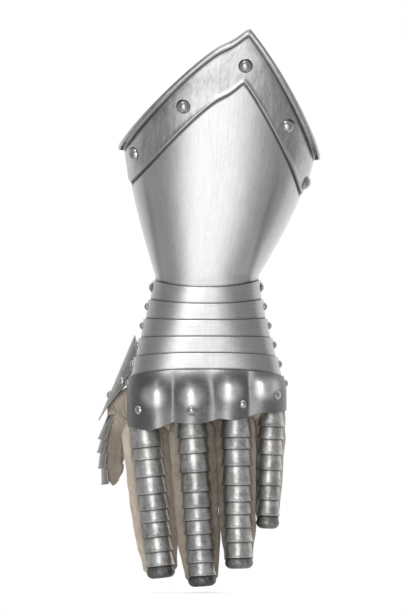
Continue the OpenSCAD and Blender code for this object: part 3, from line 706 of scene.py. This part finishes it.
def laid_grid(at, across, up, size, paint=()):
    """A grid laid over a surface at(u, v), with a UV map of its size in metres.

    paint gives further values from 0 to 1 that its material reads, each as a name and a function of (u, v).
    """
    bm = bmesh.new()
    bmesh.ops.create_grid(bm, x_segments=across, y_segments=up, size=0.5)
    for mark, amount in paint:
        coat = bm.verts.layers.float.new(mark)
        for vert in bm.verts:
            vert[coat] = amount(vert.co.x + 0.5, vert.co.y + 0.5)
    layer = bm.loops.layers.uv.new("UVMap")
    for face in bm.faces:
        for loop in face.loops:
            u, v = loop.vert.co.x + 0.5, loop.vert.co.y + 0.5
            loop[layer].uv = (u * size[0] * MM, v * size[1] * MM)
    for vert in bm.verts:
        vert.co = Vector(at(vert.co.x + 0.5, vert.co.y + 0.5)) * MM
    return bm


def plate(name, at, across, up, size, gauge, material, body, nodes, edge=0.22, paint=()):
    """A plate of even gauge laid inwards from its outer face at(u, v), with its edges worn round.

    across and up count the squares of its grid, size is its width and height and edge the width of its worn edge.
    """
    piece = finish_mesh(laid_grid(at, across, up, size, paint), name, material, 60)
    wall = piece.modifiers.new("gauge", "SOLIDIFY")
    wall.thickness, wall.offset, wall.use_even_offset = gauge * MM, -1, True
    worn = piece.modifiers.new("worn_edges", "BEVEL")
    worn.width, worn.segments, worn.limit_method, worn.angle_limit = edge * MM, 2, "ANGLE", math.radians(50)
    worn.harden_normals = False
    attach(piece, body)
    if nodes:
        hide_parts(*nodes)
    return piece


def add_dome(bm, place, out, radius, height, rows=6, around=24):
    """A domed head, its profile spun round the direction that it faces."""
    ball = (radius * radius + height * height) / (2 * height)
    top = math.degrees(math.asin(min(1, radius / ball)))
    if height > radius:
        top = 180 - top
    profile = [(ball * sin(top * (1 - k / rows)), ball * cos(top * (1 - k / rows)) - ball + height)
               for k in range(rows + 1)]
    profile = [(radius * 0.96, -0.4), (radius, -0.05)] + profile[1:]
    return add_spun(bm, profile, place, out, around)


def add_spun(bm, profile, place, out, around=24):
    start = [bm.verts.new((r, 0, h)) for r, h in profile]
    edges = [bm.edges.new(pair) for pair in zip(start, start[1:])]
    made = bmesh.ops.spin(bm, geom=start + edges, cent=(0, 0, 0), axis=(0, 0, 1), angle=2 * math.pi,
                          steps=around, use_merge=True)
    verts = set(start)
    for item in made["geom_last"]:
        if isinstance(item, bmesh.types.BMVert):
            verts.add(item)
    seen, queue = set(), list(verts)
    while queue:
        vert = queue.pop()
        if vert not in seen:
            seen.add(vert)
            queue += [e.other_vert(vert) for e in vert.link_edges]
    seen = list(seen)
    bmesh.ops.remove_doubles(bm, verts=seen, dist=1e-4)
    seen = [v for v in seen if v.is_valid]
    turn = Vector((0, 0, 1)).rotation_difference(out).to_matrix().to_4x4()
    bmesh.ops.transform(bm, matrix=Matrix.Scale(MM, 4) @ Matrix.Translation(place) @ turn, verts=seen)
    return seen


def rivets(name, heads, body, node, material=None):
    """Domed heads with their set ends inside. A head is (place, direction, radius, height, wall)."""
    bm = bmesh.new()
    for place, out, radius, height, wall in heads:
        add_dome(bm, place + out * 0.2, out, radius, height)
        add_spun(bm, [(1.5, 0.1), (1.5, -wall - 0.1)], place, out, 16)
        add_spun(bm, [(0.05, -wall - 0.95), (1.7, -wall - 0.85), (2.2, -wall - 0.45), (2.25, -wall - 0.1)],
                 place, out, 16)
    bmesh.ops.recalc_face_normals(bm, faces=bm.faces)
    piece = finish_mesh(bm, name, material or RIVET_STEEL, 50)
    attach(piece, body)
    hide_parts(node)
    return piece


# Cuff

plate("cuff", cuff_surface, 220, 80, (330, 140), PLATE, CUFF_STEEL, "cuff", ["cuff_plate"],
      paint=[("soil", cuff_painted_shade)])
plate("cuff_band", band_surface, 160, 70, (230, 34), PLATE, BAND_STEEL, "cuff", ["cuff_border"],
      paint=[("soil", band_painted_shade)])

# Angle round the cuff and distance below the rim, where the photograph shows them
BAND_RIVETS = ((7, 17.5), (-17.5, 14), (37, 12.5), (-62, 11.5), (77, 19))
SEAM_RIVETS = (12, 34, 58)
# Each kind of head: radius, height and the wall that it goes through
BAND_HEAD, SEAM_HEAD, KNUCKLE_HEAD, THUMB_HEAD = (5.2, 3.4, 2.2), (3.2, 1.8, 2.3), (3.2, 1.5, 1.1), (3, 1.8, 1.0)
SIDE_HEAD_R, FIRST_SIDE_HEAD_R, SIDE_HEAD_H = 2.8, 3.6, 2.0

heads = []
for angle, depth in BAND_RIVETS:
    place, out = cuff_place(angle, band_z(angle, depth))
    heads.append((place + out * BAND_SEAT, out, *BAND_HEAD))
for z in SEAM_RIVETS:
    place, out = cuff_place(180, z, LAP_RISE)
    heads.append((place, out, *SEAM_HEAD))
rivets("cuff_rivet_heads", heads, "cuff", "cuff_rivets")

# Wrist

for i in range(1, 6):
    # Painted shadow on each wrist plate along the upper edge of the plate below it, which lies over it
    def soil(u, v, i=i):
        return shadow_along(i + 1, lame_angle(u), wrist_surface(i)(u, v).z)
    plate(f"wrist_plate_{i}", wrist_surface(i), 110, 30, (150, 22), PLATE, LAME_STEEL, f"wrist_{i}",
          [f"wrist_lame_{i}"], paint=[("soil", soil)])


def pivot_head(i, side, radius):
    def at(dy, dz):
        z = pivot_z(i) + dz
        return Vector((hand_point(side * 87, z, stagger(i, z)).x, PIVOT_Y + dy, z))
    low, high = at(0, -2), at(0, 2)
    out = Vector((side * (high.z - low.z), 0, -side * (high.x - low.x))).normalized()
    return at(0, 0), out, radius, SIDE_HEAD_H, WRIST_STEP + PLATE + 0.3


for first, body in ((1, "wrist_1"), (3, "wrist_3"), (5, "wrist_5")):
    heads = [pivot_head(i, side, FIRST_SIDE_HEAD_R if i == 1 else SIDE_HEAD_R)
             for i in (first, first + 1) for side in (-1, 1)]
    rivets(f"side_rivets_{first}", heads, body, f"lame_{first}_pivots")

# Knuckles

KNUCKLE_RIVETS = ((-49.5, -89.5), (-11, -90), (26.6, -85.4), (51, -79))


# Painted highlight on the middle of each knuckle boss, a little below its centre
def knuckle_painted_highlight(u, v):
    p = knuckle_surface(u, v)
    return max(1 - smooth(math.hypot((p.x - x) / 1.15, p.z - z + 2), 3, 10.5) for x, z in KNUCKLES)


# Painted shade on the knuckle plate: its hollows between and below the bosses, and a ring round each rivet head
def knuckle_painted_shade(u, v):
    p = knuckle_surface(u, v)
    hollow = (1 - smooth(boss(p.x, p.z) / KNUCKLE_H, 0.3, 0.85)) * (1 - smooth(p.z, -66, -58))
    rings = max(dark_line(math.hypot(p.x - x, p.z - z) - 3.4, 0.6) for x, z in KNUCKLE_RIVETS)
    return max(0.5 * hollow, 0.6 * rings)


plate("knuckle_cap", knuckle_surface, 240, 56, (165, 40), PLATE, KNUCKLE_STEEL, "hand",
      ["knuckle_plate"], 0.3, [("soil", knuckle_painted_shade), ("polish", knuckle_painted_highlight)])
heads = []
for x, z in KNUCKLE_RIVETS:
    place, out = knuckle_place(x, z)
    heads.append((place, out, *KNUCKLE_HEAD))
rivets("knuckle_rivet_heads", heads, "hand", "knuckle_rivets")

# Fingers

for name, (x, z, lean, r, steps, spare, deeper) in FINGERS.items():
    for k in range(1, len(steps) + 1):
        last = k == len(steps)
        tip = TIP_STEEL if name in ("index", "middle") else WORN_TIP_STEEL

        # Painted shade on each finger lame: darker on its thumb side, and a shadow line just under the lower edge of
        # the lame above
        def soil(u, v, at=finger_lame_surface(name, k), back=TURN[name].inverted(), edge=total(steps, k - 1)):
            shaded = 0.35 * (1 - smooth(u, 0.12, 0.5))
            return max(shaded, dark_line(-(back @ at(u, v)).z - edge - 0.3, 0.9) if edge else 0)
        plate(f"{name}_plate_{k}", finger_lame_surface(name, k), 40, 30 if last else 20, (34, steps[k - 1] + 4),
              LAME, tip if last else FINGER_STEEL, f"{name}_{k}",
              [f"{name}_lame_{k}"], 0.25, [("soil", soil)])

# Thumb

plate("thumb_leaf", leaf_surface, 60, 40, (34, 50), LAME, THUMB_STEEL, "thumb", ["thumb_plate"])
for k in range(1, 5):
    plate(f"thumb_plate_{k}", thumb_lame_surface(k), 30, 12, (26, 14), LAME, THUMB_STEEL, f"thumb_{k}",
          [f"thumb_lame_{k}"])

swing_a = math.degrees(math.asin((THUMB_ROOT[1] - SWING_Y) / leaf_r(30)))
swing_w = (THUMB_ROOT[2] - SWING_Z + leaf_r(30) * cos(swing_a) * sin(THUMB_LEAN)) / cos(THUMB_LEAN)
swing_x = THUMB_ROOT[0] - leaf_r(swing_w) * cos(swing_a) * cos(THUMB_LEAN) - swing_w * sin(THUMB_LEAN)
swing = Vector((swing_x, SWING_Y, SWING_Z))
swing_out = Vector((-cos(swing_a) * cos(THUMB_LEAN), -sin(swing_a), cos(swing_a) * sin(THUMB_LEAN)))
ridge = thumb_turn(0) @ Vector((-leaf_r(RIDGE_W), 0, -RIDGE_W))
ridge_out = Vector((-cos(THUMB_LEAN), 0, sin(THUMB_LEAN)))
rivets("thumb_rivet_heads", [(swing, swing_out, *THUMB_HEAD), (ridge, ridge_out, *THUMB_HEAD)], "thumb",
       "thumb_rivets")


# Glove


def leather_section(r, right, left, deep, t):
    """Section of a leather finger at t from 0 to 1 round it: a round front under the lames, full sides and back."""
    if t < 0.44:
        angle = 180 * t / 0.44 - 90
        return r * sin(angle), -r * cos(angle)
    starts = [math.degrees(math.acos(min(1, r / max(r, wide, 0.01)) ** (1 / 0.75))) if r > 0 else 0
              for wide in (right, left)]
    angle = mix(-starts[0], 180 + starts[1], share(t, 0.46, 0.98))
    x, y = power(cos(angle), 0.75), power(sin(angle), 0.75)
    return x * (right if x > 0 else left), 5.4 + y * (4.4 if y < 0 else deep - 3)


def tube(name, at, around, rows, size, material=SUEDE, soil=None):
    """A leather tube: a grid laid round it and joined along its length."""
    bm = laid_grid(at, around, rows, size, [("soil", soil)] if soil else ())
    bmesh.ops.remove_doubles(bm, verts=bm.verts, dist=1e-6)
    return finish_mesh(bm, name, material, 180)


def crumple(p, amount, size=0.09):
    """Small soft unevenness of hide, in millimetres."""
    return amount * noise.noise(Vector(p) * size)


# Extra width of the leather towards the next finger, thumb side and little side
WEBS = {"index": (3.4, 3.2), "middle": (3.2, 2.6), "ring": (2.8, 2.2), "little": (2.4, 0.8)}
# Painted shade on the leather on the same two sides, in the hollows between the fingers
GAP_SHADE = {"index": (0.15, 0.65), "middle": (0.65, 0.9), "ring": (0.9, 0.65), "little": (0.6, 0.2)}


def folded(px, py, w, t, s, steps, fold_depth, fold_width, unevenness):
    """The palm side of a leather finger, folded across at each lame and a little uneven."""
    palm = max(0, sin(360 * (t - 0.5)))
    fold = min(abs(w - (total(steps, k) - FINGER_OVERLAP)) for k in range(len(steps) + 1))
    py -= s * palm * (fold_depth * math.exp(-((fold / fold_width) ** 2)) - 0.4)
    px += crumple((px, py, w), unevenness) * s
    py += crumple((py, w, px), 0.9) * s * palm
    return px, py


# From a fingertip's outer end to the leather inside it
FINGERTIP_WALL = LAME + 0.9


def leather_finger_point(name, w, t):
    x, z, lean, r, steps, spare, deeper = FINGERS[name]
    length = total(steps, len(steps))
    end = length - FINGERTIP_WALL
    s = math.sqrt(max(0.0, 1 - (max(0, w - end + 6) / 6) ** 2))
    root = lame_wall(r, steps, 1, ROOT_TUCK)[0][0] - LAME - LEATHER_GAP
    under = finger_radius(r, steps, max(0, w)) - FINGER_STEP * 1.41 - LAME - LEATHER_GAP
    front = mix(root, under, share(w, -2, 2))
    wide = r - 1.6 + (spare + 1.6) * share(w, -9, 5) - 2 * max(0, w) / length
    deep = 13 - 2 * max(0, w) / length
    web = share(w, -9, 2) * (1 - smooth(w, 0.7 * length, 0.92 * length))
    px, py = leather_section(front * s, (wide + WEBS[name][1] * web) * s, (wide + WEBS[name][0] * web) * s,
                             deep * s, t)
    if t > 0.5:
        px, py = folded(px, py, w, t, s, steps, 1.1, 1.5, 0.9)
    return TURN[name] @ Vector((px, py, -w))


for name, (x, z, lean, r, steps, spare, deeper) in FINGERS.items():
    n = len(steps)
    end = total(steps, n) - FINGERTIP_WALL
    start = max(-ROOT_TUCK - 0.6, z - PALM_LOW + 1 + r * abs(sin(lean)))
    hinges = [lame_wall(r, steps, k, ROOT_TUCK)[0][1] for k in range(1, n + 1)]
    cuts = [min(start, hinges[0] - 4)] + [(hinges[k] + hinges[k + 1]) / 2 for k in range(n - 1)] + [end]
    for k in range(n):
        a, b = cuts[k], cuts[k + 1]

        def at(u, v, a=a, b=b, last=k == n - 1, name=name):
            t = 1 - v
            w = mix(a, b, t) if not last else a + (b - a) * (sin(90 * t) if t > 0 else 0)
            return leather_finger_point(name, w, u)

        # Painted shade on the leather: its sides towards the next fingers, and its front under the lames
        def soil(u, v, name=name):
            side = GAP_SHADE[name][u < 0.72] * (1 - smooth(u, 0.66, 0.72) if u < 0.72 else smooth(u, 0.72, 0.78))
            return max(side, 0.8 * (1 - smooth(abs(u - 0.72), 0.26, 0.215)) if abs(u - 0.72) < 0.26 else 0.8)
        piece = tube(f"glove_{name}_{k + 1}", at, 72, 16 if k == n - 1 else 10, (70, b - a), soil=soil)
        axis = [TURN[name] @ Vector((0, 0, -(hinges[k] + d))) * MM for d in (-3.5, 3.5)]
        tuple(axis[0])
        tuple(axis[1])
        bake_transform(piece)
        if name == "index" and k == 0:
            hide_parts("glove_fingers")


def palm_point(angle, z):
    tuck = mix(WRIST_STEP * 2.1 + PLATE + LEATHER_GAP, PLATE + 1, share(-z, 73, 86))
    x, y = oval(angle, WRIST_W / 2 + widen(z, 1) - tuck, WRIST_W / 2 + widen(z, 1.3) - tuck,
                WRIST_FRONT - tuck, 25, squared(z))
    return x, y


HEM = 14


def palm_surface(top, low, hem=False):
    """Part of the glove's wrist and palm; at the hem the leather turns over and runs down inside."""
    def at(u, v):
        angle = 360 * u
        inside = max(0, v - 0.7) / 0.3 if hem else 0
        z = mix(low, top, min(1, v / 0.7)) - HEM * inside if hem else mix(low, top, v)
        x, y = palm_point(angle, z)
        back = max(0, -cos(angle))
        y += crumple((x, y, z), 1.4, 0.06) * back + 0.9 * back * noise.noise(Vector((x * 0.03, 0, z * 0.16)))
        thick = 1 - 0.035 * share(inside, 0, 0.1)
        return Vector((x * thick, y * thick, z))
    return at


def hanging(piece, z):
    """Bakes the transform of a ring of the glove into its mesh. The hinge's height z is not used."""
    (z + 4) * MM
    (z - 4) * MM
    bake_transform(piece)


edges = [GLOVE_TOP] + [pivot_z(i) - PITCH / 2 for i in range(1, 6)] + [PALM_END]
for i in range(6):
    piece = tube(f"glove_wrist_{i + 1}", palm_surface(edges[i], edges[i + 1], i == 0), 96, 30 if i == 0 else 10,
                 (190, edges[i] - edges[i + 1]))
    hanging(piece, pivot_z(i + 1))
    if i == 0:
        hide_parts("glove_hand")


def palm_end(u, v):
    """The glove's palm closes round the roots of the fingers."""
    angle = 360 * u
    t = 1 - v
    x, y = palm_point(angle, PALM_END)
    s = math.sqrt(max(0, 1 - t ** 3))
    z = PALM_END - 24 * sin(90 * t)
    # Its front draws in at once, behind the first finger lames
    y = mix(y, max(y, -8), smooth(t, 0, 0.4)) if y < 0 else y
    return Vector((x * mix(s, 1, 0.15) if t < 1 else 0, y * s, z))


piece = tube("glove_palm", palm_end, 96, 18, (190, 40))
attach(piece, "hand")


# The thumb's leather, down its axis from the lower end of the leaf: where it starts, closes and ends, and the
# length of its rounded end
THUMB_START, THUMB_CLOSED, THUMB_END, THUMB_ROUND = -36, -26, total(THUMB_STEPS, 4) + 2, 13


def leather_thumb_point(w, t):
    closing = share(-w, -THUMB_CLOSED, -THUMB_START)
    s = math.sqrt(max(0, 1 - (max(0, w - THUMB_END + THUMB_ROUND) / THUMB_ROUND) ** 2 - closing ** 2))
    # It bulges outwards behind the leaf, and runs in towards the palm at its root
    inwards = 5 * share(-w, 22, -THUMB_START) - 4.6 * math.exp(-(((w + 15) / 9) ** 2)) * (1 if t < 0.46 else 0.3)
    back = 4 * (share(-w, 8, 14) - closing)
    wide = 9 - 2 * share(-w, 0, 10)
    px, py = leather_section(7 * s, wide * s, wide * s, (8.5 - 5 * share(w, 2, THUMB_END)) * s, t)
    if t > 0.5:
        px, py = folded(px, py, w, t, s, THUMB_STEPS, 1.0, 1.6, 0.7)
    if w > 0:
        # Its end is drawn out towards the plates
        py = mix(-2.5, py, s)
    return Vector((py + inwards, back - px, -THUMB_LEN - w))


thumb_hinges = [thumb_wall(k)[0][1] for k in range(1, 5)]
cuts = [THUMB_START, -12] + [(thumb_hinges[k] + thumb_hinges[k + 1]) / 2 for k in range(3)] + [THUMB_END]
for k in range(5):
    a, b = cuts[k], cuts[k + 1]

    def at(u, v, a=a, b=b, k=k):
        t = 1 - v
        w = a + (b - a) * (sin(90 * t) if k == 4 else t)
        # Each bend of the row is taken up smoothly round its hinge
        bend = sum(smooth(w, h - 2, h + 4) for h in thumb_hinges)
        whole = int(min(3, bend))
        p = leather_thumb_point(w, u)
        return (thumb_turn(whole) @ p).lerp(thumb_turn(whole + 1) @ p, bend - whole)

    # Darker towards the thumb's end, with two dark seam lines down it
    def soil(u, v, a=a, b=b):
        lower = 0.15 + 0.6 * share(mix(b, a, v), -14, 8)
        return max(lower, 0.7 * dark_line(u - 0.5, 0.02), lower + 0.2 * dark_line(u - 0.6, 0.03))
    piece = tube(f"glove_thumb_{k + 1}", at, 72, 18, (56, b - a), soil=soil)
    h, reach = (thumb_hinges[k - 1], 3.5) if k else (-24, 8)
    span = [thumb_turn(max(0, k - 1)) @ Vector((0, 0, -THUMB_LEN - h - d)) * MM for d in (-reach, reach)]
    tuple(span[0])
    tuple(span[1])
    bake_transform(piece)


# Stage, in metres

FLOOR_RADIUS, FLOOR_DROP = 0.42, 0.004
DISTANCE, FIELD, FILM = 9.0, 0.437, 24
WHITE = (1, 1, 1, 1)

floor_z = cad_box[0][2] - FLOOR_DROP
bpy.ops.mesh.primitive_circle_add(vertices=96, radius=FLOOR_RADIUS, fill_type="NGON", location=(0, 0, floor_z))
floor = bpy.context.object
floor.name = "floor"
# It takes the shadow, dies away towards its rim and is lifted to white for the camera alone
paper = Finish("pale_floor", Roughness=0.95, Base_Color=(0.93, 0.93, 0.93, 1), Emission_Strength=1)
middle = paper.node("ShaderNodeVectorMath", {"operation": "LENGTH"},
                    {0: paper.node("ShaderNodeTexCoord", out="Object")}, out="Value")
looked_at = paper.node("ShaderNodeLightPath", out="Is Camera Ray")
lift_white = paper.tint((0, 0, 0), (0.3, 0.3, 0.3), looked_at)
floor.data.materials.append(paper.wear(Alpha=middle.ramp(0.14, 0.4, 0.85, 0), Emission_Color=lift_white))

world = bpy.data.worlds.new("studio")
bpy.context.scene.world = world
sky = Graph(world)
sky.tree.nodes.clear()

split = {"kind": "ShaderNodeSeparateXYZ", "values": {"Vector": sky.node("ShaderNodeTexCoord", out="Generated")}}
to_x, to_y, to_z = (sky.node(**split, out=axis) for axis in "XYZ")

# A studio: a tall soft window beside the camera, dim sides and a lit wall behind the piece
aside = (to_x / (0 - to_y) + 0.12).size() * to_z.ramp(-0.45, -0.15, 1, 1.9)
window = ((aside.ramp(1.25, 0.45, 0, 0.35) + aside.ramp(0.67, 0.08, 0, 1.25)) * to_y.ramp(-0.02, -0.25)
          * to_z.ramp(-0.97, -0.7) * to_z.ramp(0.42, 0.12))
wall = to_y.ramp(-0.05, 0.35) * to_x.ramp(-1, 1, 0.25, 0.55) + to_y.ramp(0.4, 0.95, 0, 0.3)
light = 0.42 + window + wall + to_z.ramp(0.72, 0.92, 0, 0.9)
lit = sky.node("ShaderNodeBackground", {}, {"Strength": light, "Color": WHITE})
seen = sky.node("ShaderNodeBackground", {}, {"Strength": 1.0, "Color": WHITE})
by_camera = sky.node("ShaderNodeLightPath", out="Is Camera Ray")
shown = sky.node("ShaderNodeMixShader", {}, {0: by_camera, 1: lit, 2: seen})
sky.node("ShaderNodeOutputWorld", {}, {"Surface": shown}, out=None)


def softbox(name, place, target, width, height, watts):
    """An area lamp that faces its target."""
    lamp = bpy.data.lights.new(name, "AREA")
    lamp.shape, lamp.size, lamp.size_y, lamp.energy = "RECTANGLE", width, height, watts
    holder = bpy.data.objects.new(name, lamp)
    bpy.context.scene.collection.objects.link(holder)
    holder.location = place
    holder.rotation_euler = (Vector(target) - Vector(place)).to_track_quat("-Z", "Y").to_euler()
    return holder


softbox("key", (-0.3, -1.8, 0.0), (0, 0, -0.05), 0.6, 0.6, 5)
softbox("fill", (-0.5, -1.2, 1.4), (0, 0, -0.03), 0.5, 0.5, 4)

camera = bpy.data.cameras.new("camera")
camera.sensor_fit, camera.sensor_height, camera.lens = "VERTICAL", FILM, FILM * DISTANCE / FIELD
camera.clip_end = 30
view = bpy.data.objects.new("camera", camera)
bpy.context.scene.collection.objects.link(view)
view.location = (-0.0021, -DISTANCE, -0.0154)
view.rotation_euler = (math.radians(90), 0, 0)
bpy.context.scene.camera = view
bpy.context.scene.view_settings.view_transform = "Standard"
